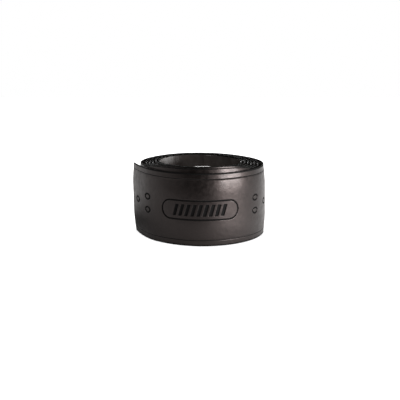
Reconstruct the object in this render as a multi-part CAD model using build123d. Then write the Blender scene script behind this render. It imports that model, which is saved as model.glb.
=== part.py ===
from build123d import *
from collections import namedtuple
from math import cos, degrees, radians, sin
import os

# A roll of grip tape for a racket handle, standing on one edge of the tape. Lengths are in
# millimetres and angles in degrees. +Z runs along the roll's axis. The origin is at the middle
# of the roll's box on the surface that it stands on.
#
# A place along the tape is its wind angle: 0 at the -X side of the roll, and growing as the tape
# winds inward, through -Y, +X and +Y. The tape is four strips bonded face to face. Each strip is
# cut where a body of the roll ends: at the tail's bends, once in every turn at the +Y side, and
# at the bends of the liner's lead.

# The tape's section, from the outside of the roll inward.
TAPE_WIDTH = 30.0
ADHESIVE_WIDTH = 24.0
LINER_WIDTH = 29.0
FACE_THICKNESS = 0.45
CUSHION_THICKNESS = 0.50
ADHESIVE_THICKNESS = 0.10
LINER_THICKNESS = 0.10

# The winding.
OUTER_RADIUS = 26.9
PITCH = 1.27
TURN_COUNT = 7
TURN_CUT = 270.0
INNER_END = 360.0 * (TURN_COUNT - 1) + 249.0

# The free end of the tape: bends at equal steps, and a last stretch that stands off the roll.
TAIL_LEAVES = 30.0
TAIL_STEP = 26.25
TAIL_SEGMENTS = 5
TAIL_RADIUS = 60.0
TAIL_LENGTH = 14.5

# The release liner's own end, free of the adhesive, to peel it by.
LEAD_STEP = 21.0
LEAD_SEGMENTS = 3
LEAD_OVERHANG = 21.0
LEAD_LIFT = 0.10

# The space between two bodies, along the tape.
CUT_GAP = 0.30

Layer = namedtuple("Layer", "name outer_depth inner_depth width")
Arc = namedtuple("Arc", "centre radius start end")


def layers():
    """The bonded strips, each with its depth below the tape's outer surface."""
    sections = [
        ("face", FACE_THICKNESS, TAPE_WIDTH),
        ("cushion", CUSHION_THICKNESS, TAPE_WIDTH),
        ("adhesive", ADHESIVE_THICKNESS, ADHESIVE_WIDTH),
        ("liner", LINER_THICKNESS, LINER_WIDTH),
    ]
    stack = []
    depth = 0.0
    for name, thickness, width in sections:
        stack.append(Layer(name, depth, depth + thickness, width))
        depth += thickness
    return stack


def outward(wind):
    """The direction away from the roll's axis at a wind angle."""
    return Vector(-cos(radians(wind)), -sin(radians(wind)), 0)


TIP_WIND = TAIL_LEAVES - degrees(TAIL_LENGTH / TAIL_RADIUS)
TAIL_ARC_CENTRE = outward(TAIL_LEAVES) * (OUTER_RADIUS - TAIL_RADIUS)
TIP_REACH = TAIL_ARC_CENTRE.X + outward(TIP_WIND).X * TAIL_RADIUS

# The roll's axis, placed so that the whole roll's box is centred on the origin.
AXIS = Vector(-(OUTER_RADIUS + TIP_REACH) / 2, PITCH / 4, 0)


def winding():
    """The tape's outer surface as tangent arcs, from the tail's tip to the end of the lead.

    Every half turn is an arc. The arcs of the +Y side have their centre half a pitch to the +X
    side of the others, so that the radius falls by half a pitch and the arcs still meet smoothly.
    """
    arcs = [Arc(AXIS + TAIL_ARC_CENTRE, TAIL_RADIUS, TIP_WIND, TAIL_LEAVES)]
    last_wind = INNER_END + LEAD_OVERHANG
    half_turn = 0
    while 180.0 * half_turn < last_wind:
        centre = AXIS + Vector(PITCH / 2 * (half_turn % 2), 0, 0)
        start = max(180.0 * half_turn, TAIL_LEAVES)
        end = min(180.0 * (half_turn + 1), last_wind)
        arcs.append(Arc(centre, OUTER_RADIUS - half_turn * PITCH / 2, start, end))
        half_turn += 1
    return arcs


WINDING = winding()


def arc_at(wind):
    """The arc of the winding that holds a wind angle."""
    for arc in WINDING:
        if arc.start <= wind <= arc.end:
            return arc
    raise ValueError(f"the tape has no wind angle of {wind}")


def place(wind, depth):
    """The point at a wind angle, at a depth below the tape's outer surface."""
    arc = arc_at(wind)
    return arc.centre + outward(wind) * (arc.radius - depth)


def half_gap(wind):
    """Half of the space between two bodies, as a wind angle."""
    return degrees(CUT_GAP / 2 / arc_at(wind).radius)


def strip(start, end, layer):
    """One layer of the tape between two wind angles."""
    outer_edges = []
    inner_edges = []
    for arc in WINDING:
        first = max(start, arc.start)
        last = min(end, arc.end)
        if last > first:
            turn = (180.0 + first, last - first)
            outer_edges.append(CenterArc(arc.centre, arc.radius - layer.outer_depth, *turn))
            inner_edges.append(CenterArc(arc.centre, arc.radius - layer.inner_depth, *turn))
    start_edge = Line(outer_edges[0] @ 0, inner_edges[0] @ 0)
    end_edge = Line(outer_edges[-1] @ 1, inner_edges[-1] @ 1)
    outline = Wire(outer_edges + [end_edge] + inner_edges + [start_edge])
    solid = extrude(Face(outline), amount=layer.width, dir=(0, 0, 1))
    return Pos(0, 0, (TAPE_WIDTH - layer.width) / 2) * solid


def tail_bends():
    """The wind angles of the tail's bends, from the roll to the tip."""
    return [TAIL_LEAVES + TAIL_STEP * (TAIL_SEGMENTS - 1 - i) for i in range(TAIL_SEGMENTS)]


def lead_bends():
    """The wind angles of the liner lead's bends, from the tape to the lead's end."""
    first = INNER_END + LEAD_OVERHANG - LEAD_STEP * LEAD_SEGMENTS
    return [first + LEAD_STEP * i for i in range(LEAD_SEGMENTS)]


def tail():
    """The layers of each stretch of the tail. tail_1 is next to the roll."""
    nodes = {}
    ends = tail_bends()
    starts = ends[1:] + [None]
    for number, (start, end) in enumerate(zip(starts, ends), 1):
        first = TIP_WIND if start is None else start + half_gap(start)
        for layer in layers():
            nodes[f"tail_{number}_{layer.name}"] = strip(first, end - half_gap(end), layer)
    return nodes


def turns():
    """The layers of each turn. turn_1 is what the tail leaves of the outermost one."""
    nodes = {}
    start = tail_bends()[0]
    for number in range(1, TURN_COUNT + 1):
        cut = 360.0 * (number - 1) + TURN_CUT
        for layer in layers():
            end = cut - half_gap(cut) if number < TURN_COUNT else INNER_END
            if number == TURN_COUNT and layer.name == "liner":
                end = lead_bends()[0] - half_gap(lead_bends()[0])
            nodes[f"turn_{number}_{layer.name}"] = strip(start + half_gap(start), end, layer)
        start = cut
    return nodes


def liner_lead():
    """The loose end of the liner, a little off the adhesive. liner_lead_3 runs past the tape."""
    nodes = {}
    liner = layers()[-1]
    outer_depth = liner.outer_depth + LEAD_LIFT
    inner_depth = liner.inner_depth + LEAD_LIFT
    film = Layer("lead", outer_depth, inner_depth, LINER_WIDTH)
    bends = lead_bends()
    for number, bend in enumerate(bends, 1):
        start = bend + half_gap(bend)
        end = bend + LEAD_STEP
        if number < LEAD_SEGMENTS:
            end -= half_gap(bend)
        nodes[f"liner_lead_{number}"] = strip(start, end, film)
    return nodes


def hinges():
    """Each bend's axis runs along +Z through this point. The tail bends at the tape's outer
    surface and the lead at its inner one, so that the space opens on the other side."""
    lead_depth = layers()[-1].inner_depth + LEAD_LIFT
    points = {}
    for number, bend in enumerate(tail_bends(), 1):
        points[f"tail_{number}"] = place(bend, 0)
    for number, bend in enumerate(lead_bends(), 1):
        points[f"liner_lead_{number}"] = place(bend, lead_depth)
    return points


def tape_length():
    """The length of the tape at the middle of its thickness."""
    middle = layers()[-1].inner_depth / 2
    length = 0.0
    for arc in WINDING:
        length += (arc.radius - middle) * radians(max(0, min(arc.end, INNER_END) - arc.start))
    return length


os.makedirs("parts", exist_ok=True)
NODES = {**turns(), **tail(), **liner_lead()}
for node, solid in NODES.items():
    export_step(solid, f"parts/{node}.step")

print(f"{len(NODES)} nodes, tape length {tape_length():.1f} mm")
print(f"roll axis at x {AXIS.X:.3f}, y {AXIS.Y:.3f}")
for body, point in hinges().items():
    print(f"{body} bends at x {point.X:.3f}, y {point.Y:.3f}")
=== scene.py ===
import math

import bpy
import numpy as np
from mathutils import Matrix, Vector


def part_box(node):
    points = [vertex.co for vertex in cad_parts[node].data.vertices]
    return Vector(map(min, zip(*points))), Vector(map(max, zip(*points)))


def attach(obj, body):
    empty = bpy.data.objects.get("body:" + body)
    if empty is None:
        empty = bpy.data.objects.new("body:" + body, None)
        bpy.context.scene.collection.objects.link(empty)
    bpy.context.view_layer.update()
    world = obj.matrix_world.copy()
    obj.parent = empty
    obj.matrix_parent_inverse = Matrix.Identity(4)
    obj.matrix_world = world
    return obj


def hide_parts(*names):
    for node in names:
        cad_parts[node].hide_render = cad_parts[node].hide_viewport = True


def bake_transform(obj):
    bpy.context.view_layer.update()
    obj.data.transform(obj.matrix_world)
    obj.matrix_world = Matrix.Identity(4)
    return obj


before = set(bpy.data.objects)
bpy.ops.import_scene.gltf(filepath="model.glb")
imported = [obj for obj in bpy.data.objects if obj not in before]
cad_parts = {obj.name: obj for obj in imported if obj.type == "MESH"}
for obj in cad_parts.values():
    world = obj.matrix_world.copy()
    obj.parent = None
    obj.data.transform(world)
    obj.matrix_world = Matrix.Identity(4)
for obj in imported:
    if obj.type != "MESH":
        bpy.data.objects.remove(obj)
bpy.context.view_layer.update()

# Lengths below are in millimetres and angles in degrees, as on the drawing of the tape. A place
# along the tape is its wind angle: 0 at the -X side, growing as the tape winds inward.
MM = 0.001
TURNS = 7
INNER_END = 360.0 * (TURNS - 1) + 249.0
TAIL_LEAVES = 30.0
TAIL_STEP = 26.25
TAIL_SEGMENTS = 5
TAIL_RADIUS = 60.0
LEAD_STEP = 21.0
LEAD_SEGMENTS = 3
LEAD_END = INNER_END + LEAD_STEP
LEAD_LIFT = 0.10
LEAD_START = LEAD_END - LEAD_STEP * LEAD_SEGMENTS


def span_of(node):
    """A CAD node's lowest and highest corners, in millimetres."""
    low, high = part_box(node)
    return np.array(low) / MM, np.array(high) / MM


# The winding, read from the boxes of two turns.
second_low, second_high = span_of("turn_2_face")
third_high = span_of("turn_3_face")[1]
PITCH = second_high[0] - third_high[0]
OUTER_RADIUS = (second_high[0] - second_low[0]) / 2 + PITCH
AXIS_X = (second_high[0] + second_low[0]) / 2
AXIS_Y = second_low[1] + OUTER_RADIUS - PITCH
TAPE_WIDTH = second_high[2]

# How deep each layer's two sides lie below the tape's outer surface, and the ends of its width.
LAYERS = ("face", "cushion", "adhesive", "liner")
OUTER_DEPTH = {}
RISE = {}
for layer in LAYERS:
    low, high = span_of(f"turn_2_{layer}")
    OUTER_DEPTH[layer] = second_high[0] - high[0]
    RISE[layer] = (low[2], high[2])
INNER_DEPTH = {layer: OUTER_DEPTH[below] for layer, below in zip(LAYERS, LAYERS[1:])}
# The liner is as thick as the adhesive.
LINER_THICKNESS = OUTER_DEPTH["liner"] - OUTER_DEPTH["adhesive"]
TAPE_THICKNESS = OUTER_DEPTH["liner"] + LINER_THICKNESS
INNER_DEPTH["liner"] = TAPE_THICKNESS
# No layer is thinner than this, however far its outer side is pressed in.
THINNEST = 0.04

# The skived edges: the tape thins towards both edges along an S curve, which starts outside the
# edge by a share of the skive's width. At the edge the face itself is only EDGE_FACE thick, and
# its corner is eased by EDGE_ROUND.
SKIVE_WIDTH = 9.0
SKIVE_DEPTH = 0.70
SKIVE_BEYOND = 0.5
EDGE_FACE = 0.15
EDGE_ROUND = 0.07

# A pressed line's bottom, the middle of its slope and its rim, from its middle, as shares of its
# width. The face is dull where it is pressed deeper than PRESSED_FROM.
LINE_BOTTOM = 0.25
LINE_SLOPE = 0.43
LINE_RIM = 0.62
PRESSED_FROM = 0.06

# A fine line is pressed beside each edge, fainter at the bottom. The cut edge is dull and darker
# too, as painted shade between the turns, in a narrower band where a turn stands proud of the one
# around it by a share of the highest.
BORDER_INSET = 2.4
BORDER_WIDTH = 0.30
BORDER_DEPTH = 0.11
FAINT_BORDER = 0.07
SHADED_EDGE = 0.55
PROUD_SHADED_EDGE = 0.1
PROUD_SHARES = (0.1, 0.4)

# The pressed mark: a rounded frame around slanted bars with sloping sides, and rings on either
# side, each with its distance along the tape and its height from the mark's middle.
MARK_WIND = 87.2
MARK_LENGTH = 32.6
MARK_HEIGHT = 7.8
MARK_LINE = 0.55
MARK_DEPTH = 0.28
BAR_COUNT = 9
BAR_PITCH = 2.5
BAR_WIDTH = 1.35
BAR_HEIGHT = 4.6
BAR_SLANT = 0.28
BAR_SLOPE = (-0.15, 0.10)
RING_RADIUS = 1.12
RING_LINE = 0.55
RING_STRETCH = 1.4
RINGS = ((-25.2, 3.3), (-25.2, -2.3), (-34.4, 0.4), (26.4, 3.2), (26.4, -2.3), (35.6, 0.0))

# A wound tape isn't round. At each wind angle, how far the tape's bottom and top edges stand
# outside the ideal winding: first from the tail's tip to the second turn, then for every later
# turn, which also lies a little tighter than the one around it.
OUTER_TURNS = (
    (16, 0.70, 1.25), (30, 0.58, 0.60), (60, 0.00, -0.10), (90, 0.15, 0.15), (125, 0.05, 0.00),
    (160, 0.25, 0.05), (180, 0.30, -0.25), (200, -0.60, -1.00), (222, -1.30, -1.80),
    (245, -1.00, -1.30), (270, -0.30, -0.30), (295, 0.70, 0.70), (325, 1.20, 1.20),
    (345, 1.80, 1.80), (357, 1.85, 1.85), (370, 0.78, 0.78), (382, 0.25, 0.25), (405, 0.00, 0.00),
    (450, -0.05, -0.05), (500, -0.20, -0.20), (540, -1.20, -1.20),
)
LATER_TURNS = (
    (0, -1.20), (45, -1.75), (90, -0.40), (115, 0.40), (140, 1.10), (160, 1.20), (180, 0.85),
    (202, 0.20), (225, -0.05), (270, -0.20), (320, -0.35), (360, -1.20),
)
TIGHTER = 0.12

# How far each turn stands proud of the first at the front, and the wind angles there.
RAISE = (0.0, 1.6, 2.15, 1.75, 1.2, 0.4, 0.35)
RAISE_START = (0.0, 60.0)
RAISE_END = (112.0, 160.0)
# The innermost turns stand a little higher all round.
CORE_RAISE = 0.75
CORE_START = (1360.0, 1800.0)

# At the near side of the hole the liner's top edge stands up and folds outward over the felt.
# Along the fold: share of the way, how far outward, and how far it stands above its flat place.
LIP_TURN = 360.0 * (TURNS - 1)
LIP_START = (72.0, 82.0)
LIP_END = (96.0, 108.0)
LIP_FROM = 28.3
LIP_SHARES = (0.0, 0.3, 0.6, 0.8, 1.0)
LIP_OUT = (0.0, 0.0, 0.10, 0.34, 0.62)
LIP_UP = (0.0, 0.55, 1.12, 1.00, 0.62)

# The rows of points across the face and the felt, as insets from the edges. The face has rows
# across its border line, where the felt has a single one.
EDGE_ROWS = (0.0, EDGE_ROUND, 0.3, SHADED_EDGE, 1.0, 1.6, 2.1)
BORDER_ROWS = (-LINE_RIM, -LINE_SLOPE, -LINE_BOTTOM, 0.0, LINE_BOTTOM, LINE_SLOPE, LINE_RIM)
FELT_BORDER_ROW = 2.8
SKIVE_ROWS = (3.2, 4.0, 5.0, 6.0, 7.0, 8.0, SKIVE_WIDTH)
# Between the skives there are few rows, or close ones as far as the mark reaches.
MIDDLE_ROWS = 7
MARK_REACH = 4.95
MARK_ROW_GAP = 0.125
# The films have few rows, up to a margin below the lip, and close ones over the lip.
FILM_ROWS = 8
FILM_MARGIN = 1.5
LIP_ROWS = 13

# The steps of wind angle between the columns of points.
MARKED_STEP = 0.3
FRONT_STEP = 2.0
BACK_STEP = 1.5
LEAD_COLUMN_STEP = 0.7

# The tape's own coordinates, for the materials: one unit is 10 mm, and each turn starts a fixed
# length after the one around it, so that the turns don't repeat the same grain.
UNITS_PER_MM = 0.1
GRAIN_PER_TURN = 150.0
# Corners sharper than this stay sharp in the shading.
SHARP_ANGLE = 50.0


# --- the tape's shape -------------------------------------------------------------------------

def smooth(low, high, value):
    """0 below low, 1 above high, and an S curve between them."""
    t = np.clip((value - low) / (high - low), 0.0, 1.0)
    return t * t * (3.0 - 2.0 * t)


def curve_through(places, values, at):
    """A smooth curve through values at increasing places."""
    slope = np.gradient(values, places)
    i = np.clip(np.searchsorted(places, at) - 1, 0, len(places) - 2)
    gap = places[i + 1] - places[i]
    t = np.clip((at - places[i]) / gap, 0.0, 1.0)
    start = values[i] * (1 + 2 * t) * (1 - t) ** 2 + slope[i] * gap * t * (1 - t) ** 2
    end = values[i + 1] * t * t * (3 - 2 * t) + slope[i + 1] * gap * t * t * (t - 1)
    return start + end


def arc_of(wind):
    """Centre and radius of the ideal outer surface at each wind angle."""
    half_turn = np.floor(wind / 180.0)
    centre_x = AXIS_X + PITCH / 2 * (half_turn % 2)
    centre_y = np.full_like(wind, AXIS_Y)
    radius = OUTER_RADIUS - half_turn * PITCH / 2
    leave = math.radians(TAIL_LEAVES)
    tail = wind < TAIL_LEAVES
    centre_x = np.where(tail, AXIS_X - math.cos(leave) * (OUTER_RADIUS - TAIL_RADIUS), centre_x)
    centre_y = np.where(tail, AXIS_Y - math.sin(leave) * (OUTER_RADIUS - TAIL_RADIUS), centre_y)
    return centre_x, centre_y, np.where(tail, TAIL_RADIUS, radius)


def out_of_round(wind, rise):
    """How far the tape stands outside the ideal winding."""
    places, bottom, top = np.array(OUTER_TURNS).T
    share = rise / TAPE_WIDTH
    at_bottom = curve_through(places, bottom, wind)
    at_top = curve_through(places, top, wind)
    outer = at_bottom * (1 - share) + at_top * share
    last = places[-1]
    places, values = np.array(LATER_TURNS).T
    later = curve_through(places, values, (wind - last) % 360.0) - TIGHTER * (wind - last) / 360.0
    return np.where(wind < last, outer, later)


def raised(wind):
    """How far each turn stands above the first, at the front and in the core."""
    turn = np.clip(np.floor(wind / 360.0), 0, TURNS - 1).astype(int)
    at = wind % 360.0
    front = np.array(RAISE)[turn] * smooth(*RAISE_START, at) * (1.0 - smooth(*RAISE_END, at))
    return front + CORE_RAISE * smooth(*CORE_START, wind)


def place(wind, depth, rise):
    """The point at a wind angle, a depth below the outer surface and a height."""
    centre_x, centre_y, radius = arc_of(wind)
    radius = radius + out_of_round(wind, rise) - depth
    x = centre_x - np.cos(np.radians(wind)) * radius
    y = centre_y - np.sin(np.radians(wind)) * radius
    return np.stack([x, y, rise + raised(wind)], axis=-1)


def lip(wind, rise):
    """How far the innermost liner's top edge stands outward and up."""
    at = wind - LIP_TURN
    there = smooth(*LIP_START, at) * (1.0 - smooth(*LIP_END, at))
    share = np.clip((rise - LIP_FROM) / (RISE["liner"][1] - LIP_FROM), 0.0, 1.0)
    places = np.array(LIP_SHARES)
    outward = curve_through(places, np.array(LIP_OUT), share)
    return there * outward, there * curve_through(places, np.array(LIP_UP), share)


def along(wind):
    """Arc length from the middle of the mark, negative towards the tail's tip."""
    on_roll = np.radians(np.maximum(wind, TAIL_LEAVES) - MARK_WIND) * OUTER_RADIUS
    return on_roll + np.radians(np.minimum(wind - TAIL_LEAVES, 0.0)) * TAIL_RADIUS


TIP_X = span_of(f"tail_{TAIL_SEGMENTS}_face")[0][0]
TAIL_CENTRE_X = arc_of(np.array([0.0]))[0][0]
TIP_WIND = math.degrees(math.acos((TAIL_CENTRE_X - TIP_X) / TAIL_RADIUS))


def inset_of(rise):
    """How far a height is from the nearer edge."""
    return np.minimum(rise, TAPE_WIDTH - rise)


def skive_curve(inset):
    """1 well outside the edge, and 0 at the skive's inner end."""
    return 1.0 - smooth(-SKIVE_WIDTH * SKIVE_BEYOND, SKIVE_WIDTH, inset)


def skive(rise):
    """How much thinner the tape is at a height than at the middle of its width."""
    return SKIVE_DEPTH * skive_curve(inset_of(rise)) / skive_curve(0.0)


def press(distance, line, depth):
    """How deep a pressed line with sloping sides is, at a distance from its middle."""
    return depth * (1.0 - smooth(line * LINE_BOTTOM, line * LINE_RIM, np.abs(distance)))


def borders(rise):
    """The fine pressed line beside each edge, fainter at the bottom."""
    depth = np.where(rise < TAPE_WIDTH / 2, FAINT_BORDER, BORDER_DEPTH)
    return press(inset_of(rise) - BORDER_INSET, BORDER_WIDTH, depth)


def mark(s, v):
    """The pressed mark and rings. s is the arc length from the mark, v the height from it."""
    half = MARK_HEIGHT / 2
    straight = MARK_LENGTH / 2 - half
    frame_line = np.hypot(np.maximum(np.abs(s) - straight, 0.0), v) - half
    pressed = press(frame_line, MARK_LINE, MARK_DEPTH)
    for i in range(BAR_COUNT):
        middle = (i - (BAR_COUNT - 1) / 2) * BAR_PITCH
        across = np.abs(s - middle - BAR_SLANT * v) - BAR_WIDTH / 2
        outside = np.maximum(across, np.abs(v) - BAR_HEIGHT / 2)
        pressed = np.maximum(pressed, MARK_DEPTH * (1.0 - smooth(*BAR_SLOPE, outside)))
    for ring_s, ring_v in RINGS:
        from_ring = np.hypot((s - ring_s) / RING_STRETCH, v - ring_v) - RING_RADIUS
        pressed = np.maximum(pressed, press(from_ring, RING_LINE, MARK_DEPTH))
    return pressed


def layer_depths(layer, wind, rise, marked):
    """Outer and inner depth of a layer at each wind angle and height."""
    thinner = skive(rise)
    edge_share = thinner / SKIVE_DEPTH
    face_inner = thinner + INNER_DEPTH["face"] - (INNER_DEPTH["face"] - EDGE_FACE) * edge_share
    if layer == "face":
        outer = thinner + borders(rise)
        if marked:
            outer = outer + mark(along(wind), rise - TAPE_WIDTH / 2)
        return outer, face_inner
    if layer == "cushion":
        return face_inner, np.full_like(rise, INNER_DEPTH["cushion"])
    return np.full_like(rise, OUTER_DEPTH[layer]), np.full_like(rise, INNER_DEPTH[layer])


def lead_depths(layer, wind, rise, marked):
    """The liner's loose end stands a little off the adhesive."""
    off = LEAD_LIFT * smooth(LEAD_START, INNER_END, wind)
    return OUTER_DEPTH["liner"] + off, INNER_DEPTH["liner"] + off


# --- collections ------------------------------------------------------------------------------

def new_collection(name):
    """A collection of the scene."""
    collection = bpy.data.collections.new(name)
    bpy.context.scene.collection.children.link(collection)
    return collection


# The walls of the hole have a collection of their own, because other light reaches them.
TAPE = new_collection("tape")
HOLE = new_collection("hole")
STAGE = new_collection("stage")


# --- meshes -----------------------------------------------------------------------------------

def fold(wind, depth, rise, out, up):
    """Both sides of the liner where its edge folds, square to the fold."""
    across = np.gradient(depth - out, axis=1)
    along_edge = np.gradient(rise + up, axis=1)
    size = np.hypot(across, along_edge)
    turn_in = LINER_THICKNESS * along_edge / size
    turn_down = -LINER_THICKNESS * across / size
    outside = place(wind, depth - out, rise)
    inside = place(wind, depth - out + turn_in, rise)
    outside[..., 2] += up
    inside[..., 2] += up + turn_down
    return outside, inside


def heights(layer, marked):
    """The heights of a layer's rows of points, closer together where its surface has detail."""
    low, high = RISE[layer]
    if layer in ("adhesive", "liner"):
        edge = np.linspace(LIP_FROM, high, LIP_ROWS) if layer == "liner" else [high]
        return np.concatenate([np.linspace(low, LIP_FROM - FILM_MARGIN, FILM_ROWS), edge])
    border = [FELT_BORDER_ROW]
    if layer == "face":
        border = [BORDER_INSET + BORDER_WIDTH * share for share in BORDER_ROWS]
    inset = np.array([*EDGE_ROWS, *border, *SKIVE_ROWS])
    if marked:
        count = int(2 * MARK_REACH / MARK_ROW_GAP)
        middle = np.linspace(TAPE_WIDTH / 2 - MARK_REACH, TAPE_WIDTH / 2 + MARK_REACH, count)
    else:
        middle = np.linspace(SKIVE_WIDTH, TAPE_WIDTH - SKIVE_WIDTH, MIDDLE_ROWS)[1:-1]
    return np.concatenate([inset, middle, (TAPE_WIDTH - inset)[::-1]])


def strip_faces(columns, rows):
    """The faces of a closed strip, whose outer points come first and its inner ones after them."""
    def at(column, row, side):
        return column * rows + row + side * columns * rows

    faces = []
    top = rows - 1
    for c in range(columns - 1):
        for r in range(rows - 1):
            faces.append((at(c, r, 0), at(c + 1, r, 0), at(c + 1, r + 1, 0), at(c, r + 1, 0)))
            faces.append((at(c, r, 1), at(c, r + 1, 1), at(c + 1, r + 1, 1), at(c + 1, r, 1)))
        faces.append((at(c, 0, 0), at(c, 0, 1), at(c + 1, 0, 1), at(c + 1, 0, 0)))
        faces.append((at(c, top, 0), at(c + 1, top, 0), at(c + 1, top, 1), at(c, top, 1)))
    last = columns - 1
    for r in range(rows - 1):
        faces.append((at(0, r, 0), at(0, r + 1, 0), at(0, r + 1, 1), at(0, r, 1)))
        faces.append((at(last, r, 0), at(last, r, 1), at(last, r + 1, 1), at(last, r + 1, 0)))
    return faces


def add_tape_coordinates(mesh, winds, rows, outer_edge):
    """Coordinates along and across the tape, for the materials. On the marked stretch they are
    measured from the mark, and elsewhere along the strip's outer edge."""
    if winds[-1] <= 180.0:
        length = along(winds)
    else:
        steps = np.linalg.norm(np.diff(outer_edge, axis=0), axis=1)
        length = winds[0] / 360.0 * GRAIN_PER_TURN + np.concatenate([[0.0], np.cumsum(steps)])
    tape_u = np.concatenate([np.repeat(length, len(rows))] * 2)
    tape_v = np.tile(rows, len(winds) * 2)
    corner = np.zeros(len(mesh.loops), np.int32)
    mesh.loops.foreach_get("vertex_index", corner)
    coordinates = np.stack([tape_u[corner], tape_v[corner]], axis=-1) * UNITS_PER_MM
    uv = mesh.uv_layers.new(name="tape")
    uv.data.foreach_set("uv", coordinates.ravel().astype(np.float32))


def dull_pressed_and_shaded_faces(mesh, faces, wind, rise, outer):
    """Give the face's pressed lines a duller material, and its cut edges the same one as painted
    shade between the turns.
    """
    mesh.materials.append(PRESSED_AND_EDGE_SHADE)
    pressed = outer - skive(rise) > PRESSED_FROM
    proud = raised(wind) / max(RAISE)
    # The cut edge's dull band is painted shade between the turns, narrower where a turn stands
    # proud.
    cut = inset_of(rise) < SHADED_EDGE - (SHADED_EDGE - PROUD_SHADED_EDGE) * smooth(*PROUD_SHARES, proud)
    dull = np.tile((pressed | cut).ravel(), 2)
    share = np.array([dull[list(corners)].mean() for corners in faces])
    mesh.polygons.foreach_set("material_index", (share >= 0.5).astype(np.int32))


def tape_piece(name, layer, start, end, step, marked=False, depths=layer_depths):
    """A closed strip of one layer between two wind angles."""
    winds = np.linspace(start, end, max(3, int(round((end - start) / step)) + 1))
    rows = heights(layer, marked)
    wind, rise = np.meshgrid(winds, rows, indexing="ij")
    outer, inner = depths(layer, wind, rise, marked)
    if layer == "liner" and end > LIP_TURN and depths is layer_depths:
        outside, inside = fold(wind, outer, rise, *lip(wind, rise))
    else:
        at_edge = (rise <= rows[0]) | (rise >= rows[-1])
        rounding = EDGE_ROUND * at_edge if layer in ("face", "cushion") else 0.0
        outside = place(wind, outer + rounding, rise)
        inside = place(wind, np.maximum(inner, outer + THINNEST), rise)
    points = np.concatenate([outside.reshape(-1, 3), inside.reshape(-1, 3)]) * MM
    faces = strip_faces(len(winds), len(rows))

    mesh = bpy.data.meshes.new(name)
    mesh.from_pydata(points.tolist(), [], faces)
    add_tape_coordinates(mesh, winds, rows, outside[:, 0])
    mesh.shade_smooth()
    mesh.set_sharp_from_angle(angle=math.radians(SHARP_ANGLE))
    mesh.materials.append(MATERIALS[layer])
    if layer == "face":
        dull_pressed_and_shaded_faces(mesh, faces, wind, rise, outer)
    piece = bpy.data.objects.new(name, mesh)
    TAPE.objects.link(piece)
    return piece


# --- materials --------------------------------------------------------------------------------

def new_material(name):
    """A material with its node tree's parts."""
    material = bpy.data.materials.new(name)
    material.use_nodes = True
    nodes = material.node_tree.nodes
    return material, nodes, material.node_tree.links, nodes["Principled BSDF"]


def noise(nodes, links, source, scale, detail, stretch=(1, 1, 1)):
    """A noise texture on the tape's own coordinates, where one unit is 10 mm."""
    mapping = nodes.new("ShaderNodeMapping")
    mapping.inputs["Scale"].default_value = stretch
    texture = nodes.new("ShaderNodeTexNoise")
    texture.inputs["Scale"].default_value = scale
    texture.inputs["Detail"].default_value = detail
    links.new(source, mapping.inputs["Vector"])
    links.new(mapping.outputs["Vector"], texture.inputs["Vector"])
    return texture.outputs["Fac"]


def ramp(nodes, links, source, low, high, positions=(0.35, 0.65)):
    """A colour ramp between two colours, or two grey levels."""
    node = nodes.new("ShaderNodeValToRGB")
    for element, position, colour in zip(node.color_ramp.elements, positions, (low, high)):
        element.position = position
        element.color = (*colour, 1) if isinstance(colour, tuple) else (colour,) * 3 + (1,)
    links.new(source, node.inputs["Fac"])
    return node.outputs["Color"]


def bump(nodes, links, shader, height, strength, distance, below=None):
    """Raise the surface by a height, on top of the bumps below."""
    node = nodes.new("ShaderNodeBump")
    node.inputs["Strength"].default_value = strength
    node.inputs["Distance"].default_value = distance * MM
    links.new(height, node.inputs["Height"])
    if below is not None:
        links.new(below, node.inputs["Normal"])
    links.new(node.outputs["Normal"], shader.inputs["Normal"])
    return node.outputs["Normal"]


def tape_coordinates(nodes):
    """The tape's own coordinates."""
    node = nodes.new("ShaderNodeUVMap")
    node.uv_map = "tape"
    return node.outputs["UV"]


def face_material():
    """Satin polyurethane: nearly black brown, with a fine skin grain and slow gloss changes."""
    material, nodes, links, shader = new_material("grip_face")
    tape = tape_coordinates(nodes)
    tone = noise(nodes, links, tape, 1.6, 4)
    links.new(ramp(nodes, links, tone, (0.0010, 0.0007, 0.0006), (0.0020, 0.0015, 0.0013)),
              shader.inputs["Base Color"])
    gloss = noise(nodes, links, tape, 5.0, 5)
    links.new(ramp(nodes, links, gloss, 0.33, 0.46), shader.inputs["Roughness"])
    shader.inputs["Specular IOR Level"].default_value = 0.5
    shader.inputs["Specular Tint"].default_value = (1.0, 0.83, 0.80, 1)
    shader.inputs["Coat Weight"].default_value = 0.3
    shader.inputs["Coat Tint"].default_value = (1.0, 0.95, 0.93, 1)
    shader.inputs["Coat Roughness"].default_value = 0.2
    shader.inputs["Coat IOR"].default_value = 1.35
    slow = bump(nodes, links, shader, noise(nodes, links, tape, 4.0, 3), 0.6, 0.16)
    bump(nodes, links, shader, noise(nodes, links, tape, 60.0, 3), 0.22, 0.03, slow)
    return material


def pressed_and_edge_shade_material():
    """The face where it is pressed, and its cut edges as painted shade between the turns: duller
    and darker than the skin around it.
    """
    material, nodes, links, shader = new_material("grip_face_pressed")
    tone = noise(nodes, links, tape_coordinates(nodes), 30.0, 4)
    links.new(ramp(nodes, links, tone, (0.0008, 0.0006, 0.0006), (0.0018, 0.0014, 0.0012)),
              shader.inputs["Base Color"])
    links.new(ramp(nodes, links, tone, 0.6, 0.8), shader.inputs["Roughness"])
    shader.inputs["Specular IOR Level"].default_value = 0.14
    bump(nodes, links, shader, tone, 0.3, 0.03)
    return material


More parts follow.
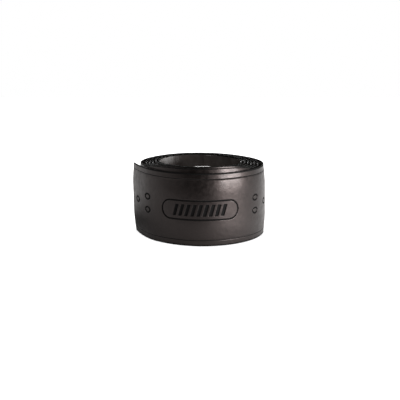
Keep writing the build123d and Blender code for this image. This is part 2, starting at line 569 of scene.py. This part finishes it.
def cushion_material():
    """Black needled felt."""
    material, nodes, links, shader = new_material("cushion_felt")
    tape = tape_coordinates(nodes)
    tone = noise(nodes, links, tape, 25.0, 6, (1, 2, 1))
    links.new(ramp(nodes, links, tone, (0.0014, 0.0012, 0.0012), (0.0070, 0.0063, 0.0060)),
              shader.inputs["Base Color"])
    links.new(ramp(nodes, links, tone, 0.85, 1.0), shader.inputs["Roughness"])
    shader.inputs["Specular IOR Level"].default_value = 0.02
    bump(nodes, links, shader, noise(nodes, links, tape, 55.0, 4), 0.6, 0.08)
    return material


def adhesive_material():
    """Dark tacky film."""
    material, nodes, links, shader = new_material("adhesive_film")
    spots = noise(nodes, links, tape_coordinates(nodes), 12.0, 4)
    links.new(ramp(nodes, links, spots, (0.004, 0.0035, 0.003), (0.009, 0.008, 0.007)),
              shader.inputs["Base Color"])
    links.new(ramp(nodes, links, spots, 0.35, 0.6), shader.inputs["Roughness"])
    shader.inputs["Specular IOR Level"].default_value = 0.1
    bump(nodes, links, shader, spots, 0.3, 0.05)
    return material


def liner_material():
    """Glossy dark brown film with fine creases across the tape."""
    material, nodes, links, shader = new_material("release_liner")
    tape = tape_coordinates(nodes)
    tone = noise(nodes, links, tape, 1.2, 3)
    links.new(ramp(nodes, links, tone, (0.014, 0.011, 0.010), (0.026, 0.021, 0.019)),
              shader.inputs["Base Color"])
    links.new(ramp(nodes, links, noise(nodes, links, tape, 3.0, 3), 0.30, 0.50),
              shader.inputs["Roughness"])
    creases = bump(nodes, links, shader, noise(nodes, links, tape, 5.0, 5, (1, 0.18, 1)), 0.8, 0.25)
    bump(nodes, links, shader, noise(nodes, links, tape, 9.0, 3), 0.35, 0.1, creases)
    return material


MATERIALS = {
    "face": face_material(),
    "cushion": cushion_material(),
    "adhesive": adhesive_material(),
    "liner": liner_material(),
}
PRESSED_AND_EDGE_SHADE = pressed_and_edge_shade_material()


# --- camera, floor and light ------------------------------------------------------------------

CAMERA_DISTANCE = 342.9
CAMERA_ELEVATION = 12.8
CAMERA_LENS = 71.1
CAMERA_SENSOR = 36.0
CAMERA_CLIP = 0.01
CAMERA_TARGET = (AXIS_X - 1.11, AXIS_Y, 13.30)

# The sky's brightness by azimuth, in half turns from the camera's side, +X positive. It blends
# into the brightness overhead by the height of the direction.
SKY_SEEN = 1
SKY_DARK = 0.01
SKY_OVERHEAD = 0.5
OVERHEAD_FROM = (0.5, 0.75)
SKY = (
    (-0.95, 2.60), (-0.84, 1.50), (-0.74, 0.60), (-0.60, 0.55), (-0.45, 0.60), (-0.30, 0.50),
    (-0.20, 0.16), (-0.14, SKY_DARK), (0.10, SKY_DARK), (0.20, 0.15), (0.45, 0.55), (0.62, 0.62),
    (0.80, 0.60), (0.95, 1.10),
)

# The floor's tone as seen, and its tone in reflections, which is painted: it darkens on the
# camera's side as painted shade and in the roll's own painted shadow, and is lighter to the right
# and in a painted pool of light at the front right. Places in metres.
FLOOR_HALF = 0.6
FLOOR_SEEN = 0.92
FLOOR_TONE = 0.36
FLOOR_FRONT_SHADE = 0.02
FLOOR_FRONT = (-0.13, -0.05)
FLOOR_RIGHT = (0.0, 0.06)
RIGHT_LIGHT_LIFT = 1.5
SHADE_CENTRE = (-0.044, 0.010, 0.0)
SHADE_RADIUS = 0.06
SHADE_TONE = 0.1
LIGHT_POOL_CENTRE = (0.034, -0.042, 0.0)
LIGHT_POOL_RADIUS = 0.05
LIGHT_POOL_LIFT = 2.1

# Each soft box: its name, azimuth from the camera's side with +X positive, elevation, distance,
# width and height, power, and what it lights. All of them aim at the middle of the roll.
AIM_HEIGHT = 15.0
SOFT_BOXES = (
    ("softbox", 51, 7.5, 330, (210, 90), 1.6, TAPE),
    ("hole_light", 104, 12, 330, (220, 80), 2.8, HOLE),
    ("rim_light", 175, 50, 330, (90, 90), 2.0, HOLE),
    ("wall_light", 10, 60, 330, (100, 60), 1.2, HOLE),
    ("back", 180, 22, 330, (240, 120), 0.5, TAPE),
    ("ceiling", 0, 89, 900, (1800, 1800), 30.0, STAGE),
)


def make_camera():
    """The camera, straight in front of the roll and a little above it."""
    elevation = math.radians(CAMERA_ELEVATION)
    back = Vector((0.0, -math.cos(elevation), math.sin(elevation)))
    camera = bpy.data.objects.new("camera", bpy.data.cameras.new("camera"))
    camera.data.lens = CAMERA_LENS
    camera.data.sensor_width = CAMERA_SENSOR
    camera.data.clip_start = CAMERA_CLIP
    camera.location = (Vector(CAMERA_TARGET) + back * CAMERA_DISTANCE) * MM
    camera.rotation_euler = (math.radians(90.0 - CAMERA_ELEVATION), 0.0, 0.0)
    bpy.context.scene.collection.objects.link(camera)
    bpy.context.scene.camera = camera


def soft_box(name, azimuth, elevation, distance, size, power, lit):
    """A soft box aimed at the roll, which lights one collection only."""
    light = bpy.data.lights.new(name, "AREA")
    light.shape = "RECTANGLE"
    light.size, light.size_y = (side * MM for side in size)
    light.energy = power
    azimuth, elevation = math.radians(azimuth), math.radians(elevation)
    flat = math.cos(elevation)
    toward = Vector((math.sin(azimuth) * flat, -math.cos(azimuth) * flat, math.sin(elevation)))
    lamp = bpy.data.objects.new(name, light)
    lamp.location = (Vector((AXIS_X, AXIS_Y, AIM_HEIGHT)) + toward * distance) * MM
    lamp.rotation_euler = toward.to_track_quat("Z", "Y").to_euler()
    bpy.context.scene.collection.objects.link(lamp)
    lamp.light_linking.receiver_collection = lit


def math_node(nodes, links, operation, *inputs):
    """A sum on numbers and other nodes' outputs."""
    node = nodes.new("ShaderNodeMath")
    node.operation = operation
    for socket, value in zip(node.inputs, inputs):
        if isinstance(value, (int, float)):
            socket.default_value = value
        else:
            links.new(value, socket)
    return node.outputs[0]


def fade(nodes, links, source, places, levels):
    """A level that changes smoothly between two places."""
    node = nodes.new("ShaderNodeMapRange")
    node.interpolation_type = "SMOOTHSTEP"
    for name, value in zip(("From Min", "From Max", "To Min", "To Max"), places + levels):
        node.inputs[name].default_value = value
    links.new(source, node.inputs["Value"])
    return node.outputs["Result"]


def spot(nodes, links, source, centre, radius, level):
    """A level at a place on the floor, that fades to 1 at a radius from it."""
    away = nodes.new("ShaderNodeVectorMath")
    away.operation = "DISTANCE"
    links.new(source, away.inputs[0])
    away.inputs[1].default_value = centre
    return fade(nodes, links, away.outputs["Value"], (0.0, radius), (level, 1.0))


def seen_or_reflected(nodes, links, reflected, seen):
    """One colour in reflections, and another where the camera sees it."""
    mix = nodes.new("ShaderNodeMix")
    mix.data_type = "RGBA"
    links.new(nodes.new("ShaderNodeLightPath").outputs["Is Camera Ray"], mix.inputs["Factor"])
    links.new(reflected, mix.inputs["A"])
    mix.inputs["B"].default_value = (seen, seen, seen, 1)
    return mix.outputs["Result"]


def make_sky():
    """A white studio, darker on the camera's side, and plain white where the camera sees it."""
    world = bpy.data.worlds.new("studio")
    world.use_nodes = True
    nodes, links = world.node_tree.nodes, world.node_tree.links
    direction = nodes.new("ShaderNodeSeparateXYZ")
    links.new(nodes.new("ShaderNodeTexCoord").outputs["Generated"], direction.inputs[0])
    x, y, z = direction.outputs
    toward_camera = math_node(nodes, links, "MULTIPLY", y, -1.0)
    azimuth = math_node(nodes, links, "ARCTAN2", x, toward_camera)
    place_on_ramp = math_node(nodes, links, "MULTIPLY_ADD", azimuth, 0.5 / math.pi, 0.5)
    around = nodes.new("ShaderNodeValToRGB")
    elements = around.color_ramp.elements
    while len(elements) < len(SKY):
        elements.new(0.5)
    for element, (at, level) in zip(elements, SKY):
        element.position = at / 2 + 0.5
        element.color = (level, level, level, 1)
    links.new(place_on_ramp, around.inputs["Fac"])
    overhead = ramp(nodes, links, z, 0.0, 1.0, OVERHEAD_FROM)
    level = nodes.new("ShaderNodeMix")
    level.data_type = "RGBA"
    links.new(overhead, level.inputs["Factor"])
    links.new(around.outputs["Color"], level.inputs["A"])
    level.inputs["B"].default_value = (SKY_OVERHEAD, SKY_OVERHEAD, SKY_OVERHEAD, 1)
    shown = seen_or_reflected(nodes, links, level.outputs["Result"], SKY_SEEN)
    links.new(shown, nodes["Background"].inputs["Color"])
    bpy.context.scene.world = world


def floor_material():
    """A matt pale floor, with the painted shade and light above where it shows in reflections."""
    material, nodes, links, shader = new_material("floor")
    on_floor = nodes.new("ShaderNodeTexCoord").outputs["Object"]
    axes = nodes.new("ShaderNodeSeparateXYZ")
    links.new(on_floor, axes.inputs[0])
    # Painted shade and light in the reflected tone: darker in front, a painted shadow near the
    # roll, painted light to the right and a painted pool of light at the front right.
    tone = fade(nodes, links, axes.outputs["Y"], FLOOR_FRONT, (FLOOR_FRONT_SHADE, FLOOR_TONE))
    shade = spot(nodes, links, on_floor, SHADE_CENTRE, SHADE_RADIUS, SHADE_TONE)
    glow = spot(nodes, links, on_floor, LIGHT_POOL_CENTRE, LIGHT_POOL_RADIUS, LIGHT_POOL_LIFT)
    right = fade(nodes, links, axes.outputs["X"], FLOOR_RIGHT, (1.0, RIGHT_LIGHT_LIFT))
    for level in (shade, glow, right):
        tone = math_node(nodes, links, "MULTIPLY", tone, level)
    shown = seen_or_reflected(nodes, links, tone, FLOOR_SEEN)
    links.new(shown, shader.inputs["Base Color"])
    shader.inputs["Roughness"].default_value = 0.9
    shader.inputs["Specular IOR Level"].default_value = 0.0
    return material


def make_floor():
    """The plain floor that the roll stands on."""
    mesh = bpy.data.meshes.new("floor")
    half = FLOOR_HALF
    corners = [(-half, -half, 0), (half, -half, 0), (half, half, 0), (-half, half, 0)]
    mesh.from_pydata(corners, [], [(0, 1, 2, 3)])
    mesh.materials.append(floor_material())
    floor = bpy.data.objects.new("floor", mesh)
    STAGE.objects.link(floor)


def make_stage():
    """The floor, the sky and the soft boxes."""
    make_floor()
    make_sky()
    bpy.context.scene.view_settings.view_transform = "Standard"
    for settings in SOFT_BOXES:
        soft_box(*settings)


# --- the tape's pieces ------------------------------------------------------------------------


def finish_piece(node):
    """Hide the CAD node that a piece stands in for."""
    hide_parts(node)


def put_in_hole(piece):
    """Move a piece to the collection that the hole's own lights reach."""
    TAPE.objects.unlink(piece)
    HOLE.objects.link(piece)


def bend_across(piece):
    """Bake the piece's placement into its mesh."""
    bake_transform(piece)


def make_tail(layer):
    """Each piece runs from the middle of one stretch to the middle of the next, across one hinge.
    Returns the wind angle where the first turn takes over."""
    bends = [TAIL_LEAVES + TAIL_STEP * i for i in range(TAIL_SEGMENTS)][::-1]
    seams = [bend + TAIL_STEP / 2 for bend in bends] + [TIP_WIND]
    for i, bend in enumerate(bends):
        start, end = seams[i + 1], seams[i]
        name = f"tail_{layer}_{i + 1}"
        piece = tape_piece(name, layer, start, end, MARKED_STEP, layer == "face")
        finish_piece(f"tail_{i + 1}_{layer}")
        bend_across(piece)
    return seams[0]


def make_turns(layer, tail_seam):
    """Half turns: the front ones ride on their turn, and the back ones stay where they are made."""
    tape_end = LEAD_START - LEAD_STEP / 2 if layer == "liner" else INNER_END
    for turn in range(1, TURNS + 1):
        start = 360.0 * (turn - 1) + 180.0
        end = start + 180.0
        front_start = tail_seam if turn == 1 else start - 180.0
        front_end = start if turn < TURNS else tape_end
        step = MARKED_STEP if turn == 1 else FRONT_STEP
        marked = turn == 1 and layer == "face"
        name = f"turn_{layer}_{turn}_front"
        front = tape_piece(name, layer, front_start, front_end, step, marked)
        finish_piece(f"turn_{turn}_{layer}")
        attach(front, f"turn_{turn}")
        if turn == TURNS and layer == "liner":
            put_in_hole(front)
        if turn < TURNS:
            back = tape_piece(f"turn_{layer}_{turn}_back", layer, start, end, BACK_STEP)
            if turn == TURNS - 1 and layer == "liner":
                put_in_hole(back)
            finish_piece(f"turn_{turn}_{layer}")
            bend_across(back)


def make_lead():
    """The liner's loose end, each piece spanning one hinge."""
    seams = [LEAD_START + LEAD_STEP * (i - 0.5) for i in range(LEAD_SEGMENTS)] + [LEAD_END]
    for i in range(LEAD_SEGMENTS):
        start, end = seams[i], seams[i + 1]
        name = f"liner_lead_{i + 1}_film"
        piece = tape_piece(name, "liner", start, end, LEAD_COLUMN_STEP, depths=lead_depths)
        put_in_hole(piece)
        finish_piece(f"liner_lead_{i + 1}")
        bend_across(piece)


make_camera()
make_stage()
for layer in LAYERS:
    make_turns(layer, make_tail(layer))
make_lead()
